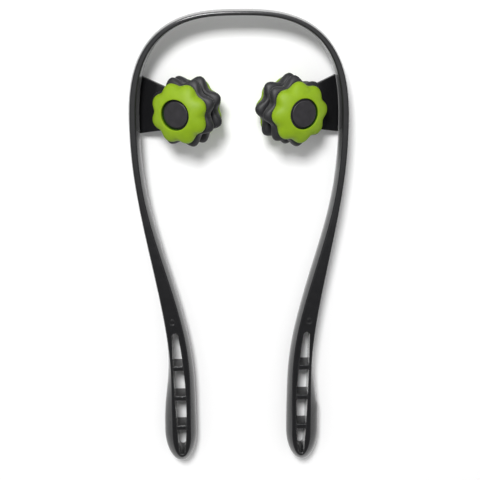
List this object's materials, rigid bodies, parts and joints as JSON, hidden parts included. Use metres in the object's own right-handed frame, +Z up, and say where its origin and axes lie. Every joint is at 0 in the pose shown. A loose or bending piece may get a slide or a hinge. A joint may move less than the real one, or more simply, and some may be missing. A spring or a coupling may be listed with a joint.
{
  "type": "neck massager",
  "caption": "Hand-held neck massager: a flexible looped bow with ladder-slotted grips carries a tilted, free-turning roller of knobbed wheels inside each arm.",
  "frame": {"origin": "centre of the footprint, on the surface that the massager lies on", "axes": "+Y towards the loop, +Z up, +X to the right of someone who holds the grips and looks at the front"},
  "size_m": [0.1842, 0.4054, 0.0537],
  "materials": {
    "bow_black": "satin moulded",
    "wheel_black": "matt moulded",
    "cover_green": "satin moulded",
    "cap_black": "satin moulded",
    "acetal_white": "natural",
    "steel": "zinc plated"
  },
  "bodies": {
    "bow": {"bow_frame": "bow_black", "left_bush": "acetal_white", "right_bush": "acetal_white"},
    "left_roller": {"left_axle": "steel", "left_front_washer": "acetal_white", "left_front_wheel": "wheel_black", "left_front_cover": "cover_green", "left_front_hub_cap": "cap_black", "left_front_screw": "steel", "left_back_washer": "acetal_white", "left_back_wheel": "wheel_black", "left_back_cover": "cover_green", "left_back_hub_cap": "cap_black", "left_back_screw": "steel"},
    "right_roller": {"right_axle": "steel", "right_front_washer": "acetal_white", "right_front_wheel": "wheel_black", "right_front_cover": "cover_green", "right_front_hub_cap": "cap_black", "right_front_screw": "steel", "right_back_washer": "acetal_white", "right_back_wheel": "wheel_black", "right_back_cover": "cover_green", "right_back_hub_cap": "cap_black", "right_back_screw": "steel"}
  },
  "joints": [
    {"name": "left_roller_spin", "type": "hinge", "parent": "bow", "child": "left_roller", "pos_m": [-0.043, 0.12154, 0.02687], "axis": [-0.4226, -0.019, 0.9061], "continuous": true},
    {"name": "right_roller_spin", "type": "hinge", "parent": "bow", "child": "right_roller", "pos_m": [0.043, 0.12154, 0.02687], "axis": [0.4226, -0.019, 0.9061], "continuous": true}
  ]
}
